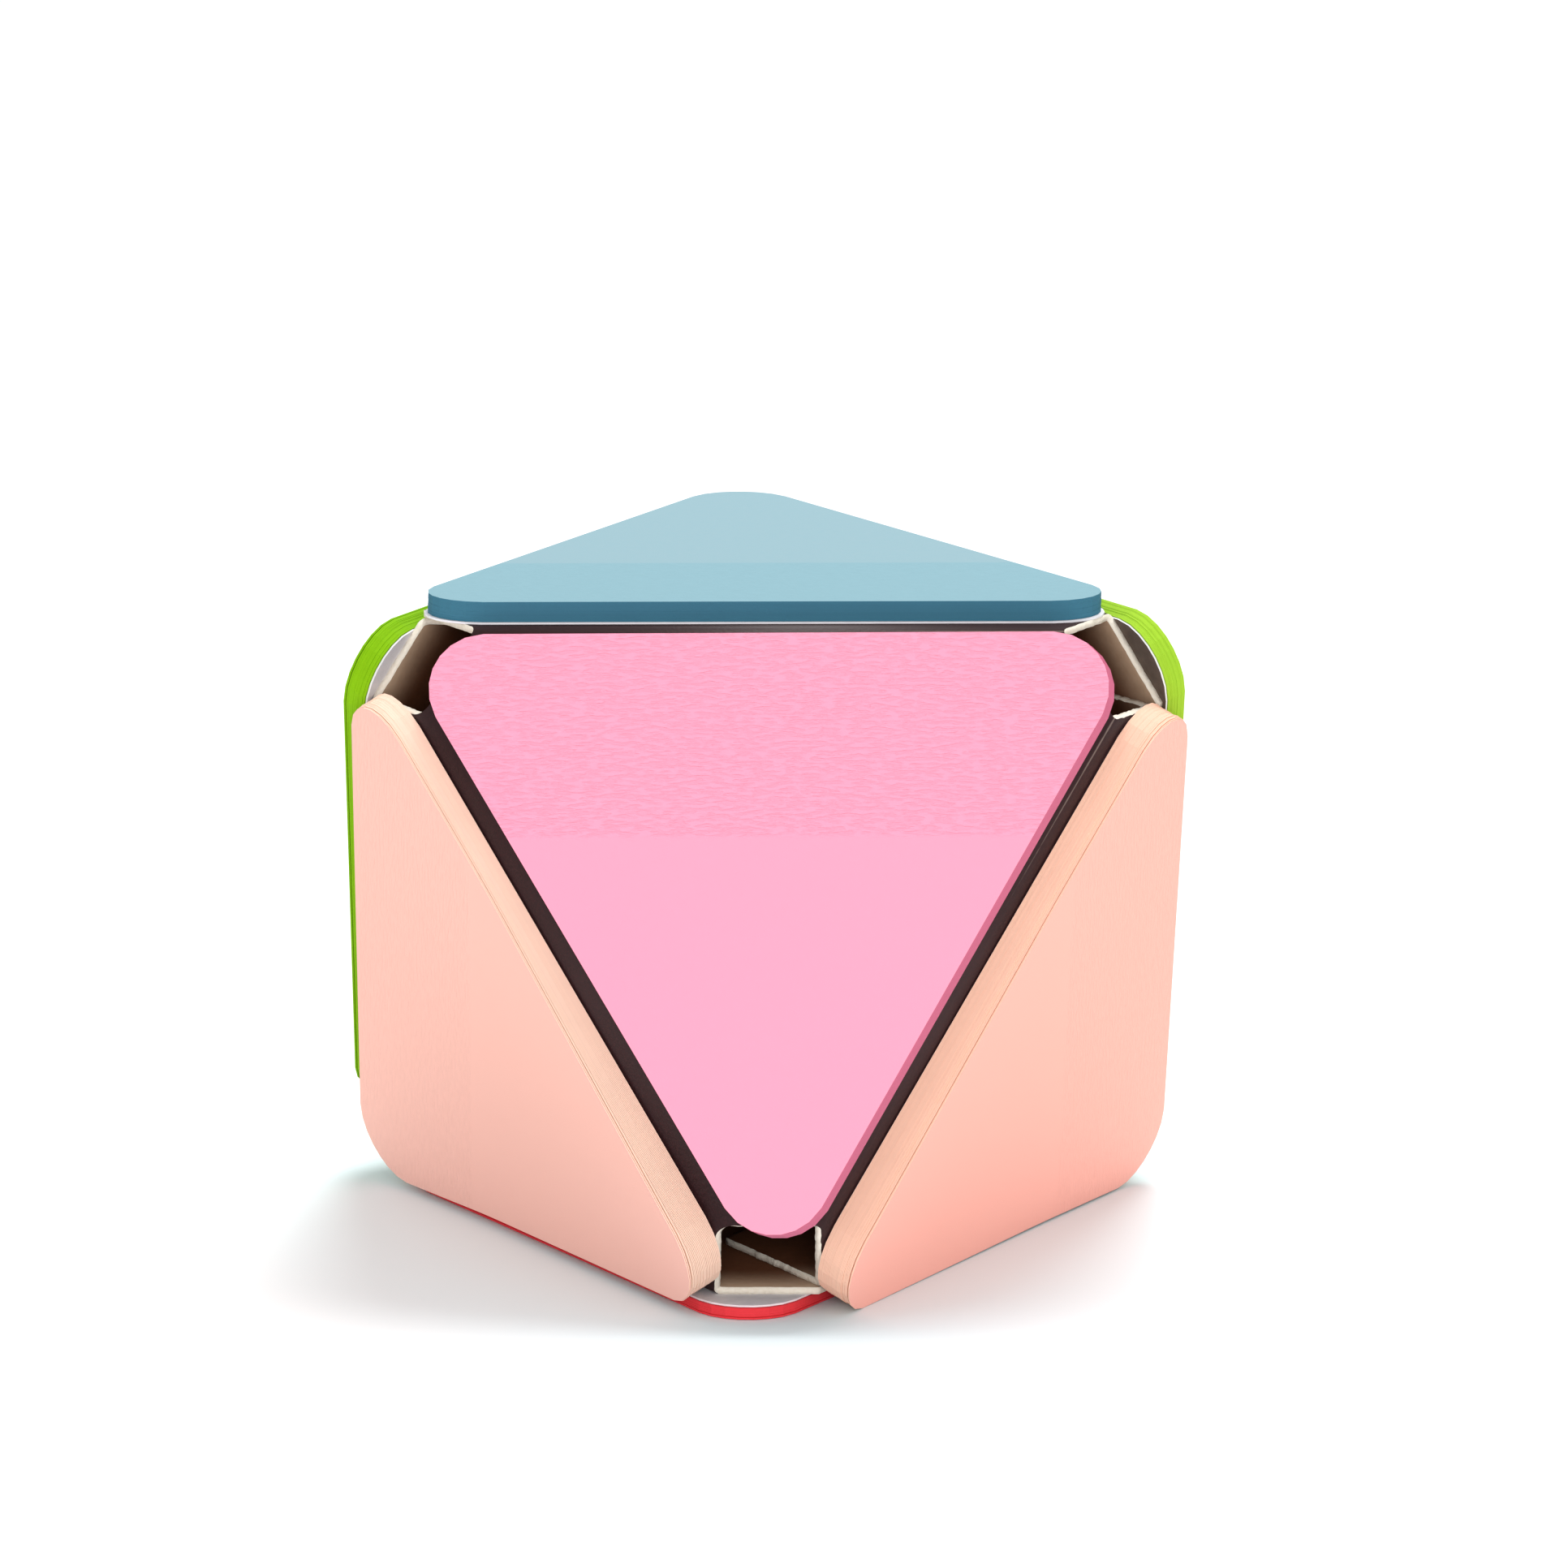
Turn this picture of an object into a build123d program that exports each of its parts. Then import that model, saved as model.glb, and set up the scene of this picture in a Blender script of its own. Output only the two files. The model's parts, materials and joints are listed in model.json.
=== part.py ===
from build123d import *
import os
from math import asin, cos, degrees, pi, sin, sqrt, tan

# A desk note holder: a hollow octahedron folded from charcoal board, lying on one of its
# eight faces, with all six tips cut away and a pad of triangular sticky notes on each face.
# Millimetres, +Z up, X to the right, the front face looks along -Y. The origin is under
# the octahedron's centre, on the plane that the bottom pad rests on.

# ---- driving dimensions -----------------------------------------------------
BOARD_EDGE = 89.0           # edge of the octahedron, measured before its tips are cut away
BOARD_THICKNESS = 0.8
TIP_CUT = 11.7              # length of each edge lost at a tip: the side of the square opening
GLUE_FLAP_WIDTH = 18.0
GLUE_FLAP_MITRE = 30.0      # degrees by which a glue flap's ends lean in from square

NOTE_WIDTH = 76.0           # note, from rounded corner to rounded corner
NOTE_CORNER = 6.2
BACKING_THICKNESS = 0.25
TOP_NOTE_THICKNESS = 0.15
BOND_SHARE = 0.34           # share of the note's height that holds the adhesive band
PEEL_START = 0.3            # free paper left out beyond the peel line
PEEL_LIFT = 0.02            # air under the free part of the top note

# ---- worked out -------------------------------------------------------------
FACE_DISTANCE = BOARD_EDGE / sqrt(6)            # centre to the outside of a panel
PANEL_RADIUS = BOARD_EDGE / sqrt(3)             # panel centre to an uncut tip
NOTE_SIDE = NOTE_WIDTH + 2 * (sqrt(3) - 1) * NOTE_CORNER
NOTE_INRADIUS = NOTE_SIDE / (2 * sqrt(3))
NOTE_HEIGHT = 3 * NOTE_INRADIUS - NOTE_CORNER   # bonded side to rounded tip
BOND_HEIGHT = BOND_SHARE * NOTE_HEIGHT
PEEL_LINE = BOND_HEIGHT - NOTE_INRADIUS         # along Y, in a note's own frame
SIDE_SLOPE = degrees(asin(1 / 3))               # a side panel leans this far from upright
BIG = 4 * BOARD_EDGE

# ---- the eight faces --------------------------------------------------------
# heading: where the face looks, in degrees about Z from +X
# lift:    how far it looks up, in degrees
# tip:     direction in the face of the note's free tip, in degrees from the face's own X
# pad:     height of the whole pad over its bonded strip
# splay:   degrees by which the notes' free tips stand apart, where the pad has been thumbed
# shift, twist: how far off centre the pad was stuck on by hand
FACES = {
    "top": dict(
        heading=-90, lift=90, tip=90, pad=2.6, splay=0, shift=(-0.9, 1.9), twist=1.9),
    "front": dict(
        heading=-90, lift=SIDE_SLOPE, tip=-90, pad=3.1, splay=0, shift=(0.5, 0.2), twist=0.5),
    "front_left": dict(
        heading=-150, lift=-SIDE_SLOPE, tip=-30, pad=3.4, splay=2.0, shift=(0.1, 0.0), twist=0.8),
    "front_right": dict(
        heading=-30, lift=-SIDE_SLOPE, tip=-150, pad=4.0, splay=1.0, shift=(1.4, -1.0), twist=0.0),
    "back_left": dict(
        heading=150, lift=SIDE_SLOPE, tip=-90, pad=3.1, splay=0, shift=(1.6, -0.5), twist=-1.2),
    "back_right": dict(
        heading=30, lift=SIDE_SLOPE, tip=-90, pad=2.7, splay=0, shift=(-2.6, 0.4), twist=-0.4),
    "back": dict(
        heading=90, lift=-SIDE_SLOPE, tip=90, pad=2.9, splay=0, shift=(0.5, -0.4), twist=-0.6),
    "base": dict(
        heading=-90, lift=-90, tip=90, pad=1.6, splay=0, shift=(-1.5, 4.0), twist=1.0),
}
CENTRE_HEIGHT = FACES["base"]["pad"] + FACE_DISTANCE

# Seams closed by a glue flap: host panel, and the direction in the host's face of the
# seam that the flap folds in from.
GLUE_FLAPS = {
    "glue_flap_front_right_to_base": ("base", 30),
    "glue_flap_front_right_to_back_right": ("back_right", -150),
    "glue_flap_back_left_to_top": ("top", 150),
    "glue_flap_back_right_to_back": ("back", 150),
    "glue_flap_back_to_back_left": ("back_left", -30),
}


def outward(face):
    """Direction in which a face looks."""
    heading, lift = FACES[face]["heading"] * pi / 180, FACES[face]["lift"] * pi / 180
    return Vector(cos(heading) * cos(lift), sin(heading) * cos(lift), sin(lift))


def face_plane(face, height=0.0):
    """Plane on the outside of a panel, its Z outwards, X level and Y up the face."""
    normal = outward(face)
    across = Vector(1, 0, 0)
    if abs(normal.Z) < 0.99:
        across = Vector(0, 0, 1).cross(normal).normalized()
    centre = Vector(0, 0, CENTRE_HEIGHT) + normal * (FACE_DISTANCE + height)
    return Plane(origin=centre, x_dir=across, z_dir=normal)


def points_up(face):
    """True where the face's triangle has one tip along the face's own +Y."""
    return face not in ("front", "back_left", "back_right")


def panel_triangle(face, depth):
    """The panel's mitred triangle at a depth below its outside, before the tips are cut."""
    radius = PANEL_RADIUS * (FACE_DISTANCE - depth) / FACE_DISTANCE
    start = 90 if points_up(face) else -90
    return face_plane(face, -depth) * RegularPolygon(radius, 3, rotation=start)


def mitred_slab(face, outer_depth, inner_depth):
    """Triangular slab between two depths, with edges mitred at the folds."""
    return loft([panel_triangle(face, outer_depth), panel_triangle(face, inner_depth)])


def panel(face):
    """Board panel of one face, with its three tips cut square to the board."""
    cut_distance = PANEL_RADIUS - TIP_CUT * sqrt(3) / 2
    start = 90 if points_up(face) else -90
    keep = Plane.XY * RegularPolygon(2 * cut_distance, 3, rotation=start + 180)
    keep = extrude(keep, amount=BOARD_THICKNESS * 3, both=True)
    return mitred_slab(face, 0, BOARD_THICKNESS) & face_plane(face).location * keep


def glue_flap(host, seam):
    """Flap folded in along a seam and lying flat on the host panel's inside."""
    half_seam = BOARD_EDGE / 2 - TIP_CUT
    inradius = PANEL_RADIUS / 2
    inner = half_seam - GLUE_FLAP_WIDTH * tan(GLUE_FLAP_MITRE * pi / 180)
    outline = Polyline(
        (inradius, -half_seam), (inradius, half_seam),
        (inradius - GLUE_FLAP_WIDTH, inner), (inradius - GLUE_FLAP_WIDTH, -inner), close=True)
    trapezoid = extrude(make_face(outline), amount=BOARD_THICKNESS * 4, both=True)
    place = face_plane(host).location * Rot(0, 0, seam)
    return mitred_slab(host, BOARD_THICKNESS, 2 * BOARD_THICKNESS) & place * trapezoid


def note_place(face, height):
    """Frame of a note: Z outwards, +Y to its free tip, origin at the middle of the note."""
    spec = FACES[face]
    turn = spec["tip"] - 90 + spec["twist"]
    return face_plane(face, height).location * Pos(*spec["shift"], 0) * Rot(0, 0, turn)


def note_outline():
    """Rounded triangle of one note, its bonded side along -Y."""
    sharp = RegularPolygon(2 * NOTE_INRADIUS, 3, rotation=90)
    return fillet(sharp.vertices(), NOTE_CORNER)


def below_peel_line(edge):
    """Half plane of the note's frame that lies on the bonded side of a line."""
    return Pos(0, edge - BIG / 2) * Rectangle(BIG, BIG)


def backing_sheet(face):
    return note_place(face, 0) * extrude(note_outline(), amount=BACKING_THICKNESS)


def stack_height(face):
    return FACES[face]["pad"] - BACKING_THICKNESS - TOP_NOTE_THICKNESS - PEEL_LIFT


def note_stack(face):
    """All the notes under the top one, as one block that widens towards their free tips."""
    height, splay = stack_height(face), FACES[face]["splay"]
    block = extrude(note_outline(), amount=height + NOTE_HEIGHT * sin(splay * pi / 180))
    over_bond = Pos(0, PEEL_LINE - BIG / 2, height + BIG / 2) * Box(BIG, BIG, BIG)
    over_tips = Pos(0, PEEL_LINE, height) * Rot(splay, 0, 0) * Pos(0, BIG / 2, BIG / 2) * Box(BIG, BIG, BIG)
    return note_place(face, BACKING_THICKNESS) * (block - over_bond - over_tips)


def top_note_band(face):
    """Strip of the top note that its adhesive holds down."""
    height = FACES[face]["pad"] - TOP_NOTE_THICKNESS - PEEL_LIFT
    strip = note_outline() & below_peel_line(PEEL_LINE)
    return note_place(face, height) * extrude(strip, amount=TOP_NOTE_THICKNESS + PEEL_LIFT)


def top_note_tip(face):
    """Free part of the top note, which peels away from the pad."""
    height, splay = FACES[face]["pad"] - TOP_NOTE_THICKNESS, FACES[face]["splay"]
    free = note_outline() - below_peel_line(PEEL_LINE + PEEL_START)
    about_peel_line = Pos(0, -PEEL_LINE) * extrude(free, amount=TOP_NOTE_THICKNESS)
    return note_place(face, height) * Pos(0, PEEL_LINE) * Rot(splay, 0, 0) * about_peel_line


def peel_axis(face):
    """Point and direction of the line about which the free part of a top note lifts."""
    place = note_place(face, FACES[face]["pad"] - TOP_NOTE_THICKNESS - PEEL_LIFT)
    point = (place * Pos(0, PEEL_LINE)).position
    along = (place * Pos(1, PEEL_LINE)).position - point
    return point, along


def write(node, solid):
    export_step(solid, f"parts/{node}.step")


os.makedirs("parts", exist_ok=True)
for name in FACES:
    write(f"panel_{name}", panel(name))
    write(f"backing_sheet_{name}", backing_sheet(name))
    write(f"note_stack_{name}", note_stack(name))
    write(f"top_note_band_{name}", top_note_band(name))
    write(f"top_note_tip_{name}", top_note_tip(name))
    at, direction = peel_axis(name)
    print(f"peel {name} at {at.X:.4f} {at.Y:.4f} {at.Z:.4f}"
          f" along {direction.X:.6f} {direction.Y:.6f} {direction.Z:.6f}")
for name, (host_panel, seam_direction) in GLUE_FLAPS.items():
    write(name, glue_flap(host_panel, seam_direction))
print(f"face distance {FACE_DISTANCE:.3f}, note inradius {NOTE_INRADIUS:.3f},"
      f" note height {NOTE_HEIGHT:.2f}, bonded height {BOND_HEIGHT:.2f}, peel line {PEEL_LINE:.3f}")
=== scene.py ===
# %% [markdown]
# # A paper octahedron that carries eight note pads
#
# The object is a hollow octahedron, folded from one sheet of charcoal board and lying on
# one of its faces. Its six tips are cut off, so it can be looked into. Every face carries a
# pad of triangular sticky notes, and the top note of each pad can be peeled up.
#
# The CAD frame already has every panel, flap, pad and peel hinge in its place. This script
# reads those places and builds what can be seen: the bent board, the separate sheets of
# paper, their finishes, the light and the camera.

# %% Load the frame
import json
import random
from math import cos, radians, sin, sqrt, tan

import bmesh
import bpy
from mathutils import Matrix, Vector, noise


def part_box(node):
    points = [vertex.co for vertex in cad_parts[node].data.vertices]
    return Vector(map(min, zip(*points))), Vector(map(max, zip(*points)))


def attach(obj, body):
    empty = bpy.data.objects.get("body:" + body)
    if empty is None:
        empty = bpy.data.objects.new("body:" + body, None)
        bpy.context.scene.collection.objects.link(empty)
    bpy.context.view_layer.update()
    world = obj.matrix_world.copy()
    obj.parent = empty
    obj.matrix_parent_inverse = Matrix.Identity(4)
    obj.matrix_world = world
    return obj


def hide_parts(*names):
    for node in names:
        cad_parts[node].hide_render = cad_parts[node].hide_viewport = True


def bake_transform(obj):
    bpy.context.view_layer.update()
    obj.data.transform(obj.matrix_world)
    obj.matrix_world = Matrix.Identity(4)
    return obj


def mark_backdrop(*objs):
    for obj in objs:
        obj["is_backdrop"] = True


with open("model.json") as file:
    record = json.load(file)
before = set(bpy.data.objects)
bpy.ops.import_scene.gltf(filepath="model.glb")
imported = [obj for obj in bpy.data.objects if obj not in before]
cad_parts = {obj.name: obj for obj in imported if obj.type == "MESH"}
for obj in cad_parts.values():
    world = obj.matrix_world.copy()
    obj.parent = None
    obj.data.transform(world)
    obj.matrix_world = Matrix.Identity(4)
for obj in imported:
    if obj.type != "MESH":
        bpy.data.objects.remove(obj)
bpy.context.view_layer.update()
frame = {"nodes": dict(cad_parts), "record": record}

MM = 0.001

# %% [markdown]
# ## Measure the shell
#
# An octahedron is settled by one number, the distance from its centre to a face. The top
# and bottom panels lie level, so their boxes give it. The tips are cut square, which makes
# a panel narrower than the full triangle by the length cut off one edge.

# %% Measure the shell from its panels
FACES = ("top", "front", "front_left", "front_right", "back_left", "back_right", "back", "base")
base_box, top_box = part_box("panel_base"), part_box("panel_top")
FACE_DISTANCE = (top_box[1].z - base_box[0].z) / 2
CENTRE = Vector((0, 0, (top_box[1].z + base_box[0].z) / 2))
BOARD = base_box[1].z - base_box[0].z
BOARD_EDGE = FACE_DISTANCE * sqrt(6)
TIP_CUT = BOARD_EDGE - (top_box[1].x - top_box[0].x)
print(f"edge {BOARD_EDGE / MM:.1f} mm, board {BOARD / MM:.2f} mm, tip cut {TIP_CUT / MM:.1f} mm")


def outward(face):
    """Direction in which a panel looks, from its largest triangle on the outside."""
    polygons = frame["nodes"]["panel_" + face].data.polygons
    outside = [p for p in polygons if p.normal.dot(p.center - CENTRE) > 0]
    return max(outside, key=lambda p: p.area).normal.copy()


OUTWARD = {face: outward(face) for face in FACES}

# %% [markdown]
# ## Measure the pads
#
# Everything about a pad is easiest in its own frame: X along the line where its top note
# starts to peel, Y towards the free tip and Z out of the face, with the origin on the
# board. The peel hinge gives the line, and the panel gives Z. The reach of the CAD solids
# in that frame gives the height of the pad, and how far its free tips splay.


# %% Measure the pads from their hinges and solids
TOP_NOTE_SOLID = 0.17 * MM      # CAD thickness of a top note with the air under it


def reach(node, place):
    """Lowest and highest corner of a CAD node in the frame of a pad."""
    points = [place.inverted() @ v.co for v in frame["nodes"][node].data.vertices]
    low = Vector([min(p[axis] for p in points) for axis in range(3)])
    high = Vector([max(p[axis] for p in points) for axis in range(3)])
    return low, high


class Pad:
    """Place and sizes of the note pad on one face."""

    def __init__(self, face):
        joints = frame["record"]["behaviour"]["joints"]
        hinge = next(joint for joint in joints if joint["name"] == "peel_" + face)
        along, out, self.peel = Vector(hinge["axis"]), OUTWARD[face], Vector(hinge["pos_m"])
        foot = self.peel - out * (out.dot(self.peel - CENTRE) - FACE_DISTANCE)
        turn = Matrix((along, out.cross(along), out)).transposed()
        self.face, self.place = face, Matrix.Translation(foot) @ turn.to_4x4()
        backing = reach("backing_sheet_" + face, self.place)
        self.bond, self.tip, self.backing = -backing[0].y, backing[1].y, backing[1].z
        self.height = out.dot(self.peel - foot)
        lifted = reach("top_note_tip_" + face, self.place)[1]
        self.splay = max(0.0, (lifted.z - self.height) / lifted.y - TOP_NOTE_SOLID / lifted.y)


PADS = {face: Pad(face) for face in FACES}
for pad in PADS.values():
    print(f"{pad.face}: {pad.height / MM:.2f} mm high, splay {pad.splay:.3f},"
          f" bonded {pad.bond / MM:.1f}, free {pad.tip / MM:.1f}")

# %% [markdown]
# ## Shader expressions
#
# A material is a sum: this noise times that, plus a little of the other. `Wire` wraps a
# socket so that such sums can be written as Python, and `Finish` makes the nodes. Colours
# are given as on a paint chart, 0 to 255, and turned linear.


# %% A small language for materials
class Wire:
    """An output socket that can be added, multiplied and so on."""

    def __init__(self, finish, socket):
        self.finish, self.socket = finish, socket

    def worked(self, operation, first, second):
        return self.finish.node("Math", dict(operation=operation), {0: first, 1: second})

    def __add__(self, other):
        return self.worked("ADD", self, other)

    def __sub__(self, other):
        return self.worked("SUBTRACT", self, other)

    def __rsub__(self, other):
        return self.worked("SUBTRACT", other, self)

    def __mul__(self, other):
        return self.worked("MULTIPLY", self, other)

    __radd__, __rmul__ = __add__, __mul__


class Finish:
    """A material, and the nodes that feed its Principled shader."""

    def __init__(self, name, **shader):
        self.material = bpy.data.materials.new(name)
        self.material.use_nodes = True
        self.tree = self.material.node_tree
        self.shader = self.tree.nodes["Principled BSDF"]
        for socket, value in shader.items():
            self.feed(self.shader.inputs[socket.replace("_", " ")], value)

    def feed(self, socket, value):
        if isinstance(value, Wire):
            self.tree.links.new(value.socket, socket)
        else:
            socket.default_value = value

    def node(self, kind, settings=None, values=None, output=0):
        """Adds a node: its settings first, then the values or wires of its inputs."""
        made = self.tree.nodes.new("ShaderNode" + kind)
        for name, value in (settings or {}).items():
            setattr(made, name, value)
        for socket, value in (values or {}).items():
            self.feed(made.inputs[socket], value)
        return Wire(self, made.outputs[output])

    def blended(self, first, second, factor):
        """Colour between two colours."""
        return self.node("Mix", dict(data_type="RGBA"), {0: factor, 6: first, 7: second}, output=2)

    def step(self, value, low, high):
        """0 below low, 1 above high, and a soft step between."""
        settings = dict(interpolation_type="SMOOTHSTEP")
        return self.node("MapRange", settings, {0: value, 1: low, 2: high})

    def noise(self, at, scale, detail=2.0):
        return self.node("TexNoise", None, {"Vector": at, "Scale": scale, "Detail": detail})

    def stretched(self, at, scale):
        """Coordinates with each axis scaled on its own."""
        return self.node("VectorMath", dict(operation="MULTIPLY"), {0: at, 1: scale})

    def wear(self, colour=None, roughness=None, height=None, depth=0.0):
        """Connects what varies over the surface to the shader."""
        if colour is not None:
            self.feed(self.shader.inputs["Base Color"], colour)
        if roughness is not None:
            self.feed(self.shader.inputs["Roughness"], roughness)
        if height is not None:
            bump = self.node("Bump", None, {"Height": height, "Distance": depth, "Strength": 1.0})
            self.feed(self.shader.inputs["Normal"], bump)


def paint(red, green, blue):
    """A chart colour, 0 to 255, as linear red, green, blue and alpha."""
    chart = (red / 255, green / 255, blue / 255)
    linear = [c / 12.92 if c <= 0.04045 else ((c + 0.055) / 1.055) ** 2.4 for c in chart]
    return (*linear, 1.0)


# %% [markdown]
# ## Board finishes
#
# The board is grey-brown pulp with a dark coated paper on its outside. The coating is
# smooth enough for a soft shine along a fold, with a fine grain like book cloth, and it is
# rubbed pale on the crest of the sharpest folds. The pulp is painted darker and browner deep
# inside than at the openings, a painted shade for the light that does not reach far in. A cut
# shows its cream core, which is fibrous and takes no shine at all. One more finish, grey-brown
# and rough, is a painted shadow on the underside of a backing sheet that hangs in shade.


# %% Charcoal outside, brown inside, cream where it is cut
def charcoal():
    finish = Finish("charcoal_cover", Specular_IOR_Level=0.3)
    at = finish.node("TexCoord", output=3)
    grain = finish.noise(at, 2600.0, 3.0)
    cloud = finish.noise(at, 60.0)
    rubbed = finish.node("Attribute", dict(attribute_name="fold_wear"), output=2)
    scuff = finish.noise(at, 700.0, 4.0)
    crest = finish.step(rubbed + scuff * 0.35, 0.75, 1.15)
    colour = finish.blended(paint(28, 8, 9), paint(58, 30, 32), grain * 0.6 + cloud * 0.4)
    worn = finish.blended(colour, paint(150, 132, 122), crest * 0.55)
    finish.wear(worn, 0.42 + grain * 0.16, grain, 0.03 * MM)
    return finish.material


# painted shade inside the shell: full up to the first distance, gone beyond the second
INSIDE_SHADE_FULL, INSIDE_SHADE_ENDS = 48.5 * MM, 57.0 * MM      # distances from the centre of the shell


def brown_inside():
    finish = Finish("pulp_inside", Specular_IOR_Level=0.2)
    at = finish.node("TexCoord", output=3)
    fibre = finish.noise(at, 900.0, 4.0)
    cloud = finish.noise(at, 40.0)
    distance = finish.node("VectorMath", dict(operation="DISTANCE"), {0: at, 1: CENTRE}, output=1)
    lit_towards_openings = finish.step(distance, INSIDE_SHADE_FULL, INSIDE_SHADE_ENDS)
    pulp = fibre * 0.5 + cloud * 0.5
    # painted shade: the pulp is darker deep inside the shell, and has its own lighter colour near
    # the openings
    deep = finish.blended(paint(74, 40, 22), paint(94, 56, 34), pulp)
    pulp_lit = finish.blended(paint(168, 136, 108), paint(204, 180, 154), pulp)
    finish.wear(finish.blended(deep, pulp_lit, lit_towards_openings), 0.9, fibre, 0.05 * MM)
    return finish.material


def cream_cut():
    finish = Finish("cream_cut_edge", Specular_IOR_Level=0.2)
    at = finish.node("TexCoord", output=3)
    fibre = finish.noise(at, 2200.0, 5.0)
    cloud = finish.noise(at, 300.0)
    colour = finish.blended(paint(226, 212, 190), paint(255, 252, 242), fibre * 0.6 + cloud * 0.4)
    finish.wear(colour, 0.95, fibre, 0.12 * MM)
    return finish.material


def shaded_backing_underside():
    """Painted shadow: grey-brown for the underside of a backing sheet where it hangs in shade."""
    finish = Finish("backing_underside_painted_shade", Specular_IOR_Level=0.1)
    at = finish.node("TexCoord", output=3)
    fibre = finish.noise(at, 500.0, 5.0)
    colour = finish.blended(paint(88, 76, 68), paint(128, 114, 104), fibre)
    finish.wear(colour, 0.95, fibre, 0.08 * MM)
    return finish.material


BOARD_FINISHES = (charcoal(), brown_inside(), cream_cut())
# painted shadow for the underside of an overhanging backing sheet
BACKING_UNDERSIDE_SHADE = shaded_backing_underside()
print("board finishes", [m.name for m in BOARD_FINISHES], BACKING_UNDERSIDE_SHADE.name)

# %% [markdown]
# ## The folded shell
#
# The shell is one sheet, so it is built as one skin first and thickened afterwards. Six
# points and their convex hull are the octahedron. A slanted plane takes off each tip. Five
# of the twelve edges are seams, not folds: there the skin is split, one side is cut back by
# the board's thickness, and a glue flap is drawn out of it under the neighbouring panel.
#
# A cut through pulp board is never clean. Points are added along every cut and moved a hair
# in or out of line, and the wall that is grown from them carries the fray to both sides.

# %% Skin of the octahedron with its tips cut off
FOLD_RADIUS = 0.95 * MM
SOFT_FOLD_RADIUS = 2.6 * MM             # one fold has never been pressed sharp
FOLD_TURN = radians(70.5288)            # angle that the board turns through at a fold
FOLD_REACH = tan(FOLD_TURN / 2)         # tangent length of a fold for a radius of 1
FLAP_WIDTH = 18.0 * MM
FLAP_MITRE = radians(30)                # lean of a flap's ends, from square to its fold
FLAP_LIFT = radians(1.2)                # a flap stands this far off the panel behind it
FLAP_GAP = 0.06 * MM                    # glue between a flap and its panel
SEAMS = [name.removeprefix("glue_flap_").split("_to_")
         for name in sorted(frame["nodes"]) if name.startswith("glue_flap_")]


def everything(bm):
    return bm.verts[:] + bm.edges[:] + bm.faces[:]


def cut_octahedron():
    bm = bmesh.new()
    for turn in range(3):
        for height, start in ((FACE_DISTANCE, 90), (-FACE_DISTANCE, 270)):
            angle = radians(start + 120 * turn)
            flat = Vector((cos(angle), sin(angle), 0)) * FACE_DISTANCE * sqrt(2)
            bm.verts.new(CENTRE + flat + Vector((0, 0, height)))
    bmesh.ops.convex_hull(bm, input=bm.verts)
    for tip in [v.co.copy() for v in bm.verts]:
        axis = (tip - CENTRE).normalized()
        bmesh.ops.bisect_plane(bm, geom=everything(bm), plane_co=tip - axis * TIP_CUT / sqrt(2),
                               plane_no=axis, clear_outer=True)
    bm.normal_update()
    return bm


def middle(edge):
    return (edge.verts[0].co + edge.verts[1].co) / 2


def steps(low, high, pitch):
    """Evenly spaced places between two ends, about a pitch apart, without the ends."""
    count = int((high - low) / pitch)
    return [low + (high - low) * (i + 1) / (count + 1) for i in range(count)]


# %% Fray the cuts, and mark the folds that rub
FRAY_STEP = 0.55 * MM
FRAY_DEPTH = 0.045 * MM     # how far a point of the cut lies out of line
FRAY_TUFT = 0.10 * MM       # now and then a tuft of fibres stands out this far
TUFT_CHANCE = 0.08


def fray(bm, rng):
    """Adds points along every long cut and moves each a hair in or out of line."""
    bm.normal_update()
    cuts = [e for e in bm.edges if e.is_boundary and e.calc_length() > 4 * FRAY_STEP]
    for edge in cuts:
        start, length = edge.verts[0], edge.calc_length()
        along = (edge.verts[1].co - start.co) / length
        across = along.cross(edge.link_faces[0].normal)
        places = steps(0, length, FRAY_STEP)
        points = [start.co + along * place for place in places]
        for number, point in enumerate(points):
            left = len(points) - number + 1
            edge, made = bmesh.utils.edge_split(edge, start, 1 / left)
            tuft = FRAY_TUFT if rng.random() < TUFT_CHANCE else 0.0
            made.co = point + across * (rng.gauss(0, FRAY_DEPTH) + tuft)
            start = made
            edge = next(e for e in made.link_edges if e.is_boundary and e is not edge)


def mark_worn_folds(bm, soft_place):
    """Marks how rubbed each point is: most on a sharp fold's crest, not at all on a panel."""
    wear = bm.verts.layers.float.new("fold_wear")
    crest = FOLD_RADIUS * (1 - cos(FOLD_TURN / 2))
    for v in bm.verts:
        depths = sorted(FACE_DISTANCE - OUTWARD[face].dot(v.co - CENTRE) for face in FACES)
        if depths[0] > crest / 20 and (v.co - soft_place).length > BOARD_EDGE / 2:
            v[wear] = min(1.0, depths[0] / crest)


# %% Open the seams and draw out the glue flaps
def fold_in_flap(bm, guest, host, guest_out, host_out, at):
    """Cuts the guest panel back at a seam and folds its flap in under the host panel."""
    edge = min(guest.edges, key=lambda e: (middle(e) - at).length)
    back = (CENTRE + guest_out * FACE_DISTANCE - at).normalized()
    cut_back = back * (BOARD + FLAP_GAP) / sin(FOLD_TURN)
    bmesh.ops.translate(bm, verts=edge.verts[:], vec=cut_back)
    crease = middle(edge)
    drawn = bmesh.ops.extrude_edge_only(bm, edges=[edge])["geom"]
    inward = (CENTRE + host_out * FACE_DISTANCE - at).normalized()
    for v in [g for g in drawn if isinstance(g, bmesh.types.BMVert)]:
        narrow = (crease - v.co).normalized() * FLAP_WIDTH * tan(FLAP_MITRE)
        v.co += narrow + (inward * cos(FLAP_LIFT) - host_out * sin(FLAP_LIFT)) * FLAP_WIDTH


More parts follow.
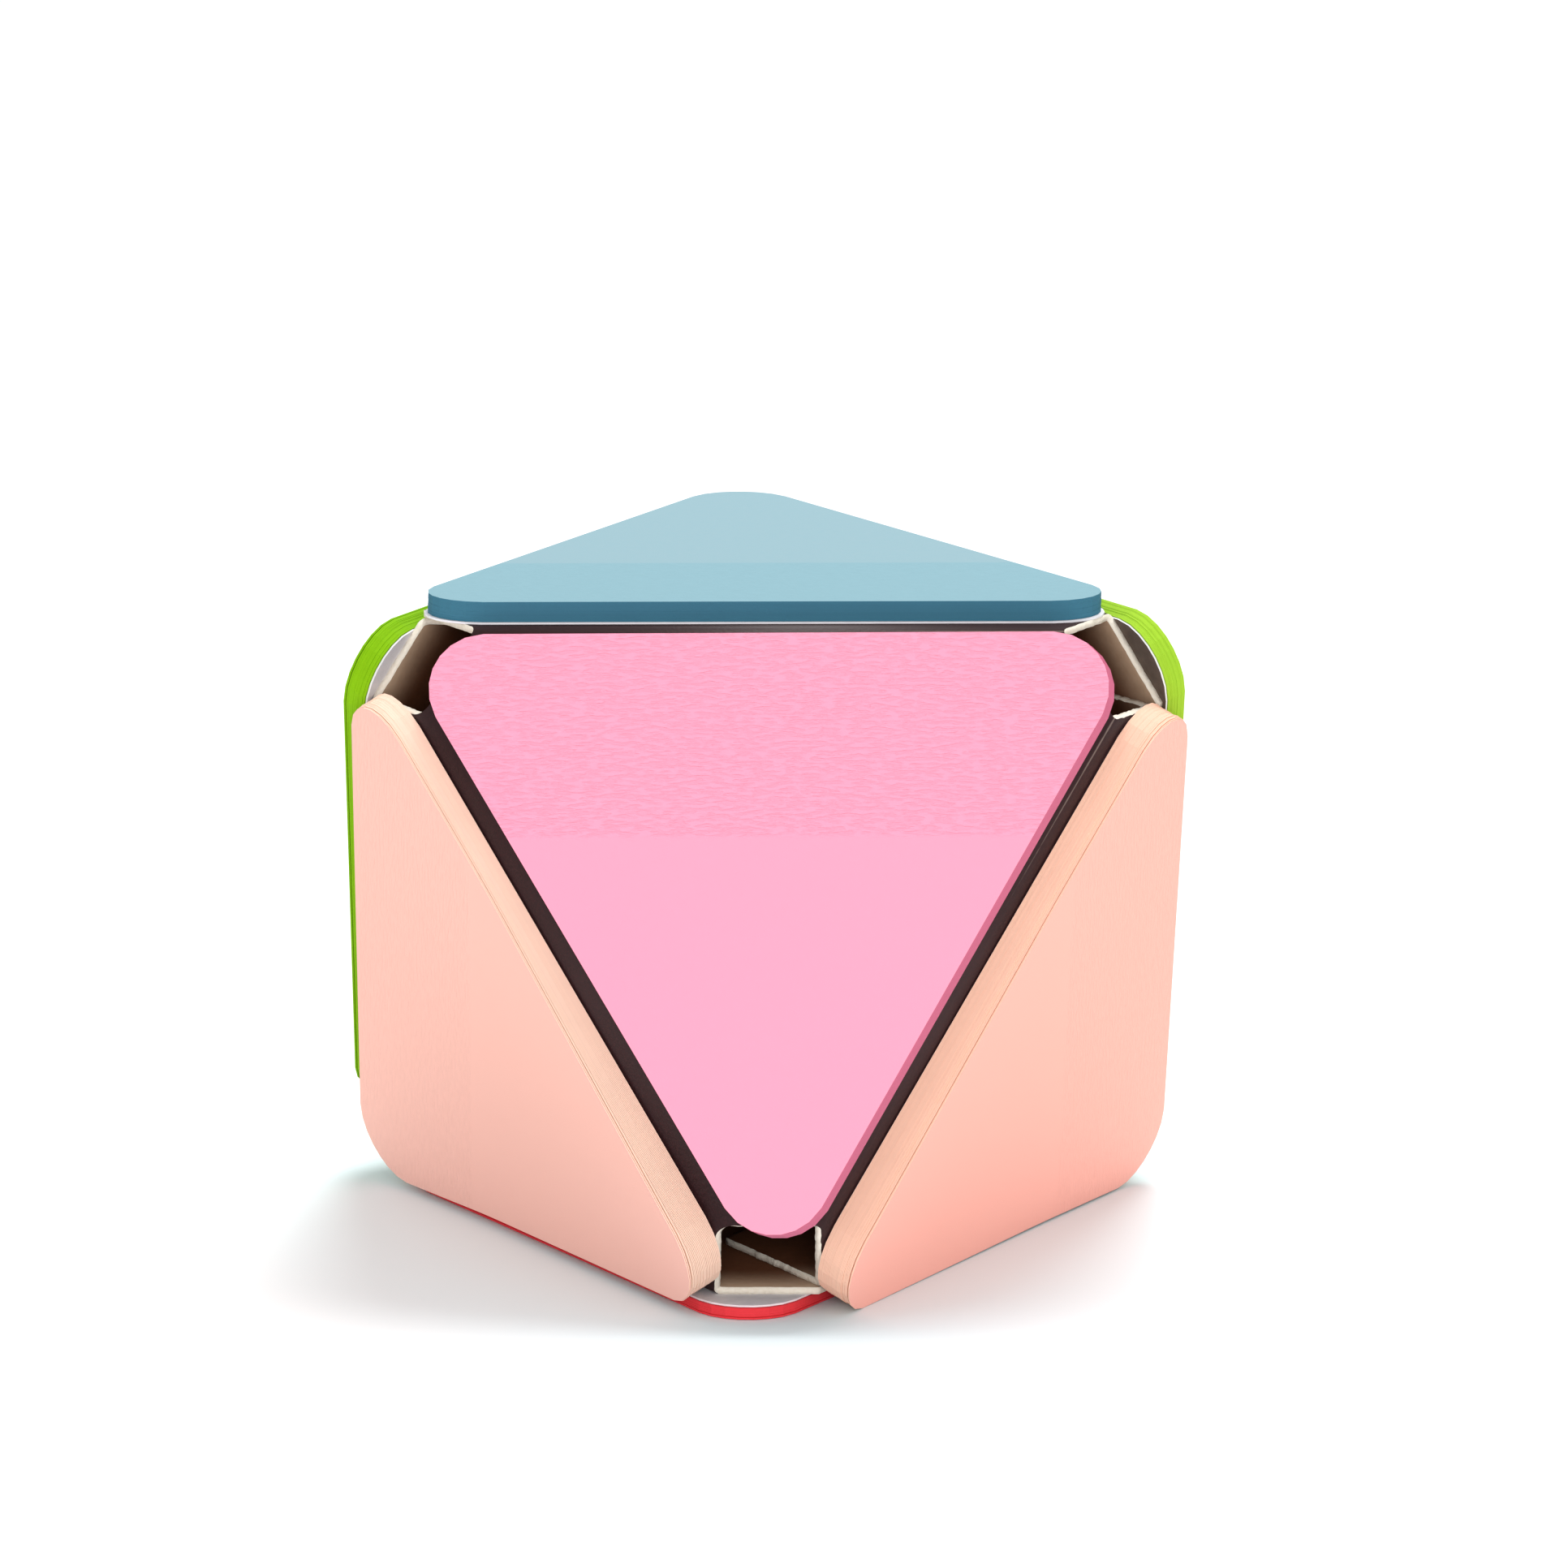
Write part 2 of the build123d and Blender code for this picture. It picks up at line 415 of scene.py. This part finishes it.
def folded_skin():
    bm = cut_octahedron()
    panels = {face: max(bm.faces, key=lambda f: f.normal.dot(OUTWARD[face])) for face in FACES}
    shared = {pair: (set(panels[pair[0]].edges) & set(panels[pair[1]].edges)).pop()
              for pair in map(tuple, SEAMS)}
    places = {pair: middle(edge) for pair, edge in shared.items()}
    soft = (set(panels["front"].edges) & set(panels["front_left"].edges)).pop()
    soft_place = middle(soft)
    bmesh.ops.split_edges(bm, edges=list(shared.values()))
    for (guest, host), at in places.items():
        fold_in_flap(bm, panels[guest], panels[host], OUTWARD[guest], OUTWARD[host], at)
    folds = [e for e in bm.edges if len(e.link_faces) == 2]
    soft = min(folds, key=lambda e: (middle(e) - soft_place).length)
    folds.remove(soft)
    for edges, radius, segments in ((folds, FOLD_RADIUS, 4), ([soft], SOFT_FOLD_RADIUS, 10)):
        bmesh.ops.bevel(bm, geom=edges, offset=radius * FOLD_REACH, offset_type="OFFSET",
                        segments=segments, profile=0.5, affect="EDGES", material=-1)
    fray(bm, random.Random(7))
    mark_worn_folds(bm, soft_place)
    return bm


# %% Thicken the skin into board
def piece(name, bm, finishes, smooth_angle=None):
    """Turns a bmesh into an object at the origin, with its finishes."""
    mesh = bpy.data.meshes.new(name)
    bm.to_mesh(mesh)
    bm.free()
    made = bpy.data.objects.new(name, mesh)
    bpy.context.scene.collection.objects.link(made)
    for finish in finishes:
        mesh.materials.append(finish)
    if smooth_angle is not None:
        mesh.shade_smooth()
        mesh.set_sharp_from_angle(angle=radians(smooth_angle))
    return made


shell = piece("folded_shell", folded_skin(), BOARD_FINISHES, smooth_angle=30)
wall = shell.modifiers.new("wall", "SOLIDIFY")
wall.thickness, wall.offset = BOARD, -1.0
wall.use_even_offset = True
wall.material_offset, wall.material_offset_rim = 1, 2
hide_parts(*["panel_" + face for face in FACES],
            *["glue_flap_" + "_to_".join(s) for s in SEAMS])
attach(shell, "holder")
print("shell", len(shell.data.polygons), "faces before its wall")

# %% [markdown]
# ## Paper finishes
#
# Note paper is dull and faintly mottled. The strip over the adhesive is a shade deeper,
# because the glue soaks into the sheet, and it has fine wrinkles across it. They are drawn
# twice, as a little height and as painted shade in the creases, because a bump alone hardly
# shows in light this even. The cut side of a pad is a different colour from its face: light is
# caught between the sheets, and each sheet lies a hair's breadth in or out of line.

# %% Chart of papers
# face colour, the same over the adhesive, and the cut side of the pad
PAPERS = {
    "blue": (paint(141, 170, 179), paint(130, 168, 179), paint(62, 117, 139)),
    "pink": (paint(248, 156, 181), paint(248, 157, 184), paint(206, 118, 145)),
    "pale_salmon": (paint(246, 190, 176), paint(246, 190, 176), paint(255, 219, 197)),
    "salmon": (paint(254, 183, 168), paint(254, 183, 168), paint(255, 207, 182)),
    "green": (paint(148, 202, 38), paint(143, 198, 32), paint(130, 186, 4)),
    "lime": (paint(166, 210, 62), paint(161, 206, 55), paint(158, 202, 50)),
    "yellow": (paint(250, 218, 96), paint(249, 212, 84), paint(240, 196, 60)),
    "red": (paint(230, 66, 76), paint(226, 60, 70), paint(240, 62, 70)),
}
PAPER_ON = {"top": "blue", "front": "pink", "front_left": "pale_salmon", "front_right": "salmon",
            "back_left": "green", "back_right": "lime", "back": "yellow", "base": "red"}
UV_UNIT = 10.0 * MM         # a note's UV map is in centimetres, with the peel line at 0
BOND_BLUR = 0.04            # in UV units: the adhesive stops showing this near to the peel line
WRINKLE_SHAPE = (3.6, 18.0, 1.0)        # five times longer along the bonded side than across
# painted shade in the creases of the wrinkles
CREASE_SHADE = 0.95          # brightness of a crease, against the paper round it
WRINKLED_LESS = 0.35        # the other papers are wrinkled less than the pink one


def note_face(name, colours, wrinkled):
    """Top of a note, with its adhesive showing through on the far side of the peel line."""
    finish = Finish(name + "_paper_face", Specular_IOR_Level=0.25)
    at = finish.node("TexCoord", output=2)
    across = finish.node("SeparateXYZ", None, {0: at}, output=1)
    bonded = 1 - finish.step(across, -BOND_BLUR, BOND_BLUR)
    mottle = finish.noise(at, 9.0, 4.0)
    wrinkle = finish.noise(finish.stretched(at, WRINKLE_SHAPE), 1.5, 4.0)
    crease = finish.step(wrinkle, 0.42, 0.66) * bonded * wrinkled
    grain = finish.noise(at, 70.0, 2.0)
    free = finish.blended(colours[0], colours[1], mottle * 0.5)
    flat = finish.blended(free, colours[1], bonded)
    # painted shade: the creases of the wrinkles over the adhesive are drawn darker
    crease_shade_colour = tuple(c * CREASE_SHADE for c in colours[1][:3]) + (1.0,)
    height = grain * 0.15 + crease
    finish.wear(finish.blended(flat, crease_shade_colour, crease), 0.85, height, 0.09 * MM)
    return finish.material


SIDE_DEEP = 0.84            # brightness of the darkest sheet in a pad, against the palest


def pad_side(name, colour):
    """Cut side of a pad, where every sheet has a tone of its own."""
    finish = Finish(name + "_paper_side", Specular_IOR_Level=0.2)
    at = finish.node("TexCoord", output=3)
    sheet = finish.node("Attribute", dict(attribute_name="sheet_tone"), output=2)
    cloud = finish.noise(at, 160.0, 3.0)
    fibre = finish.noise(at, 1500.0, 3.0)
    deep = tuple(c * SIDE_DEEP for c in colour[:3]) + (1.0,)
    tone = sheet * 0.6 + cloud * 0.45 + fibre * 0.2
    finish.wear(finish.blended(deep, colour, tone), 0.9, fibre, 0.03 * MM)
    return finish.material


def backing_white():
    finish = Finish("backing_paper", Specular_IOR_Level=0.2)
    at = finish.node("TexCoord", output=3)
    fibre = finish.noise(at, 900.0, 3.0)
    colour = finish.blended(paint(226, 224, 230), paint(246, 245, 248), fibre)
    finish.wear(colour, 0.8, fibre, 0.02 * MM)
    return finish.material


BACKING = backing_white()
SIDE = {name: pad_side(name, colours[2]) for name, colours in PAPERS.items()}
WRINKLED = {name: 1.0 if name == "pink" else WRINKLED_LESS for name in PAPERS}
FACE = {name: note_face(name, colours, WRINKLED[name]) for name, colours in PAPERS.items()}
print("papers", sorted(PAPERS))

# %% [markdown]
# ## One sheet of paper
#
# A note is an equal-sided triangle with round corners. A circle of three segments is the
# triangle, and a bevel of its three points rounds it. A bevel's profile of 0.5 is a circle
# only at a right angle. At the 60 degrees of this corner, 0.44 comes nearest to one.

# %% Cut a note to shape
NOTE_CORNER = 6.2 * MM
CORNER_PROFILE = 0.44


def note_blank(pad, grow=0.0):
    """Flat note in its pad's frame, as one face."""
    inradius = (pad.bond + pad.tip + NOTE_CORNER) / 3 + grow
    bm = bmesh.new()
    middle_of_note = Matrix.Translation((0, inradius - pad.bond - grow, 0))
    bmesh.ops.create_circle(bm, cap_ends=True, segments=3, radius=2 * inradius,
                            matrix=middle_of_note)
    bmesh.ops.bevel(bm, geom=bm.verts[:], offset=NOTE_CORNER * sqrt(3), offset_type="OFFSET",
                    segments=7, profile=CORNER_PROFILE, affect="VERTICES", material=-1)
    return bm


def sliced(bm, axis, places):
    """Cuts the flat note along lines, so that it can bend there."""
    normal = Vector((0, 0, 0))
    normal[axis] = 1.0
    for place in places:
        bmesh.ops.bisect_plane(bm, geom=everything(bm), plane_co=normal * place, plane_no=normal)


def thickened(bm, thickness):
    """Gives the flat note its thickness, upwards. Extruding turns the lower side over."""
    bmesh.ops.recalc_face_normals(bm, faces=bm.faces[:])
    if bm.faces[0].normal.z < 0:
        bmesh.ops.reverse_faces(bm, faces=bm.faces[:])
    top = bmesh.ops.extrude_face_region(bm, geom=bm.faces[:])["geom"]
    bmesh.ops.translate(bm, verts=[g for g in top if isinstance(g, bmesh.types.BMVert)],
                        vec=(0, 0, thickness))
    bm.normal_update()


EASE = 6.0 * MM             # length over which a splayed sheet bends


def lift(along, slope):
    """Height of free paper at a distance from the adhesive: level at first, then sloping."""
    if along <= 0:
        return 0.0
    if along < EASE:
        return slope * along * along / (2 * EASE)
    return slope * (along - EASE / 2)


blank = note_blank(PADS["top"])
spread = [max(v.co[axis] for v in blank.verts) - min(v.co[axis] for v in blank.verts)
          for axis in (0, 1)]
print(f"note {spread[0] / MM:.1f} by {spread[1] / MM:.1f} mm")
blank.free()

# %% [markdown]
# ## The pads
#
# Real sheets make a real pad: eleven to thirty-four thin plates, each a little out of line
# with the last. Five pads are loose, and their outer sheets lie further out of line. On two
# of these the free tips stand apart, so every sheet bends up from the adhesive by its share of
# the splay. Three pads also lean, as a pile of paper does when it is pushed, so that one of
# their sides shows wider than the other. Only the uppermost sheet shows its face. The rim of
# any other sheet that sticks out is so narrow that it takes the colour of the cut side.

# %% Stack the sheets
SHEET_PITCH = 0.105 * MM
SHEET_THICKNESS = 0.1 * MM
WANDER = 0.018 * MM         # how far one sheet lies out of line with the last
LOOSE = ("front_left", "front_right", "back_left", "back", "base")
LOOSENESS = 2.0             # how much further out of line the outer sheets of a loose pad lie
FOLLOWS = 0.8               # share of the last sheet's drift that the next one follows
TONE_SPREAD = 0.3           # share by which the tones of an even pad's sheets differ
LEAN = {"front": Vector((0.75, -0.1)) * MM, "front_left": Vector((0.3, 0.2)) * MM,
        "front_right": Vector((-0.2, 0.3)) * MM}
TOP_NOTE = 0.10 * MM
TUCKED = 2                  # on a loose pad the sheet this far from the top is drawn in,
TUCK = 0.994                # to this share of its size, which leaves a fine dark line


def stacked_sheets(pad, rng):
    """All the notes of a pad but the top one, in the pad's frame."""
    depth = pad.height - pad.backing
    count = round(depth / SHEET_PITCH)
    loose = pad.face in LOOSE
    bm = note_blank(pad)
    if loose:
        sliced(bm, 1, [0.0, EASE / 3, EASE * 2 / 3, EASE])
    thickened(bm, SHEET_THICKNESS)
    tone = bm.verts.layers.float.new("sheet_tone")
    pattern = everything(bm)
    lean, drift = LEAN.get(pad.face, Vector((0, 0))), Vector((0, 0))
    for number in range(count):
        share = (number + 0.5) / count
        sheet = bmesh.ops.duplicate(bm, geom=pattern)["geom"] if number < count - 1 else pattern
        unruly = 1.0 + LOOSENESS * share ** 3 if loose else 1.0
        drift = drift * FOLLOWS + Vector((rng.gauss(0, WANDER), rng.gauss(0, WANDER))) * unruly
        shift = drift + lean * (share - 0.5)
        scale = TUCK if loose and number == count - TUCKED else 1.0
        shade = 1.0 - rng.random() ** 2 * min(1.0, TONE_SPREAD * unruly)
        for v in [g for g in sheet if isinstance(g, bmesh.types.BMVert)]:
            v[tone] = shade
            v.co.z += pad.backing + number * depth / count + lift(v.co.y, pad.splay * share)
            v.co.x = v.co.x * scale + shift.x
            v.co.y = v.co.y * scale + shift.y
    for face in bm.faces:
        face.material_index = 1
    for face in [g for g in pattern if isinstance(g, bmesh.types.BMFace)]:
        face.material_index = 0 if face.normal.z > 0.5 else 1
    return bm, count


def placed(bm, pad):
    bmesh.ops.transform(bm, matrix=pad.place, verts=bm.verts[:])
    return bm


for number, (face, pad) in enumerate(PADS.items()):
    paper = PAPER_ON[face]
    sheets, count = stacked_sheets(pad, random.Random(40 + number))
    stack = piece("note_sheets_" + face, placed(sheets, pad), (FACE[paper], SIDE[paper]))
    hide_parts("note_stack_" + face)
    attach(stack, "holder")
    print(face, count, "sheets")

# %% [markdown]
# ## Backing sheets
#
# Under each pad is a white sheet. Where it is cut a trace larger than the notes it shows as a
# fine pale line along the board, and where it is smaller it leaves a thin shadow. It is also
# seen from below, where a pad's corner hangs over an open tip. On the back right pad that
# underside is painted grey-brown, a painted shadow for the shade under the overhang.

# %% Lay the backing sheets
BACKING_MARGIN = {"top": 0.22 * MM, "front": -0.35 * MM, "front_left": -1.2 * MM,
                  "front_right": -0.6 * MM, "back_left": -0.1 * MM, "back_right": -0.1 * MM,
                  "back": 0.06 * MM, "base": -0.2 * MM}
BACKING_LIFT = 0.04 * MM    # air between the backing and the lowest note

for face, pad in PADS.items():
    sheet = note_blank(pad, BACKING_MARGIN[face])
    thickened(sheet, pad.backing - BACKING_LIFT)
    for side in sheet.faces:
        # the underside of the back right backing sheet takes the painted shadow
        side.material_index = 1 if face == "back_right" and side.normal.z < -0.5 else 0
    backing = piece("backing_" + face, placed(sheet, pad), (BACKING, BACKING_UNDERSIDE_SHADE))
    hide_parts("backing_sheet_" + face)
    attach(backing, "holder")
print("backing sheets", len(PADS))

# %% [markdown]
# ## The top notes
#
# The top note is looked at most, and it is the one that peels. It is sliced finely over
# the adhesive, where noise raises low wrinkles along the bonded side, and coarsely beyond.

# %% Lay the top notes
WRINKLE_HEIGHT = 0.035 * MM
WRINKLE_EASE = 1.5 * MM     # the wrinkles rise over this distance from the ends of the strip
LONG_RIPPLE = (9 * MM, 1.3 * MM)        # along the bonded side, and across it
SHORT_RIPPLE = (4 * MM, 0.7 * MM)
BOND_SLICE, FREE_SLICE, CROSS_SLICE = 0.55 * MM, 1.6 * MM, 2.4 * MM
CURL = 11.0 * MM            # a length from the peel line towards the tip of a top note


def wrinkle_height(at, seed):
    """Height of the paper over the adhesive: long low ripples along the bonded side."""
    coarse = noise.noise(Vector((at.x / LONG_RIPPLE[0], at.y / LONG_RIPPLE[1], seed)))
    fine = noise.noise(Vector((at.x / SHORT_RIPPLE[0], at.y / SHORT_RIPPLE[1], seed + 7)))
    return abs(coarse * 0.7 + fine * 0.3)


def top_note(pad, seed, wrinkled):
    bm = note_blank(pad)
    sliced(bm, 1, [0.0] + steps(-pad.bond, 0, BOND_SLICE) + steps(0, pad.tip, FREE_SLICE))
    sliced(bm, 0, steps(-spread[0] / 2, spread[0] / 2, CROSS_SLICE))
    thickened(bm, TOP_NOTE)
    grid = bm.loops.layers.uv.new("note")
    tone = bm.verts.layers.float.new("sheet_tone")
    for v in bm.verts:
        v[tone] = 1.0
        fade = min(1.0, max(0.0, min(-v.co.y, v.co.y + pad.bond) / WRINKLE_EASE))
        v.co.z += wrinkle_height(v.co, seed) * fade * WRINKLE_HEIGHT * wrinkled
    for face in bm.faces:
        face.material_index = 1 if abs(face.normal.z) < 0.5 else 0
        for corner in face.loops:
            corner[grid].uv = corner.vert.co.xy / UV_UNIT
    shift = LEAN.get(pad.face, Vector((0, 0))) / 2
    for v in bm.verts:
        v.co.z += pad.height + lift(v.co.y, pad.splay)
        v.co.xy += shift
    return placed(bm, pad)


for number, (face, pad) in enumerate(PADS.items()):
    paper = PAPER_ON[face]
    sheet = top_note(pad, 10.0 * number, WRINKLED[paper])
    note = piece("top_note_" + face, sheet, (FACE[paper], SIDE[paper]), smooth_angle=40)
    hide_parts("top_note_band_" + face, "top_note_tip_" + face)
    towards_tip = pad.place.to_3x3() @ Vector((0, 1, 0))
    pad.peel + towards_tip * CURL
    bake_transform(note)
print("top notes", len(PADS))

# %% [markdown]
# ## Floor, light and camera
#
# A white floor under a white sky gives the even light of a product shot. A large lamp above
# and behind brightens the top pad and lays a soft shadow to the front and left. A low lamp in
# front lifts the faces that lean outwards over the floor, which would be dull otherwise.
#
# Paper colours its surroundings: the salmon pads throw warm light on the floor. A trace of
# blue in the floor round the object takes it back, so that the shadow looks grey.
#
# The camera stands well back with a long lens, so that level edges hardly converge, and it
# looks down a little, to show the top pad as a narrow shape.

# %% Floor and light
FLOOR_SIZE = 12.0
FLOOR_TINTED, FLOOR_PLAIN = (0.79, 0.935, 0.97, 1), (0.96, 0.96, 0.96, 1)
FLOOR_NEAR, FLOOR_AWAY = 40.0 * MM, 85.0 * MM       # the tint ends between these distances
SKY_STRENGTH = 0.77


def white_floor():
    """White, with a trace of blue under the object that balances the warm light off its pads."""
    bm = bmesh.new()
    bmesh.ops.create_grid(bm, x_segments=1, y_segments=1, size=FLOOR_SIZE / 2)
    finish = Finish("floor_white", Roughness=0.9, Specular_IOR_Level=0.0)
    at = finish.node("TexCoord", output=3)
    distance = finish.node("VectorMath", dict(operation="LENGTH"), {0: at}, output=1)
    away = finish.step(distance, FLOOR_NEAR, FLOOR_AWAY)
    finish.wear(finish.blended(FLOOR_TINTED, FLOOR_PLAIN, away))
    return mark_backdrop(piece("floor", bm, (finish.material,)))


def lamp(name, position, target, size, power):
    data = bpy.data.lights.new(name, "AREA")
    data.shape, data.size, data.energy = "DISK", size, power
    made = bpy.data.objects.new(name, data)
    bpy.context.scene.collection.objects.link(made)
    made.location = position
    made.rotation_euler = (Vector(target) - Vector(position)).to_track_quat("-Z", "Y").to_euler()
    return made


white_floor()
sky = bpy.data.worlds.new("sky")
sky.use_nodes = True
sky.node_tree.nodes["Background"].inputs["Color"].default_value = (1, 1, 1, 1)
sky.node_tree.nodes["Background"].inputs["Strength"].default_value = SKY_STRENGTH
bpy.context.scene.world = sky
bpy.context.scene.view_settings.view_transform = "Standard"
lamp("overhead", (0.16, 0.32, 1.05), CENTRE, 0.6, 8.4)
lamp("front", (0.05, -1.15, 0.25), CENTRE, 0.5, 4.8)

# %% Camera
YAW, ELEVATION, ROLL = radians(1.27), radians(11.93), radians(0.48)
CAMERA_DISTANCE = 1.352
LENS = 271.1
AIM_RIGHT, AIM_UP = 2.5 * MM, 12.9 * MM     # the aim lies this far off the shell's centre


def camera():
    """A long lens a little above the object, which leaves it below the middle of the frame."""
    ahead = Vector((sin(YAW) * cos(ELEVATION), cos(YAW) * cos(ELEVATION), -sin(ELEVATION)))
    level = Vector((cos(YAW), -sin(YAW), 0))
    right = level * cos(ROLL) + level.cross(ahead) * sin(ROLL)
    up = right.cross(ahead)
    data = bpy.data.cameras.new("camera")
    data.lens, data.sensor_width = LENS, 36.0
    data.clip_start, data.clip_end = 0.05, 30.0
    made = bpy.data.objects.new("camera", data)
    bpy.context.scene.collection.objects.link(made)
    turn = Matrix((right, up, -ahead)).transposed().to_4x4()
    place = CENTRE - ahead * CAMERA_DISTANCE + right * AIM_RIGHT + up * AIM_UP
    made.matrix_world = Matrix.Translation(place) @ turn
    bpy.context.scene.camera = made
    return made


print("camera at", [round(value, 3) for value in camera().matrix_world.translation])
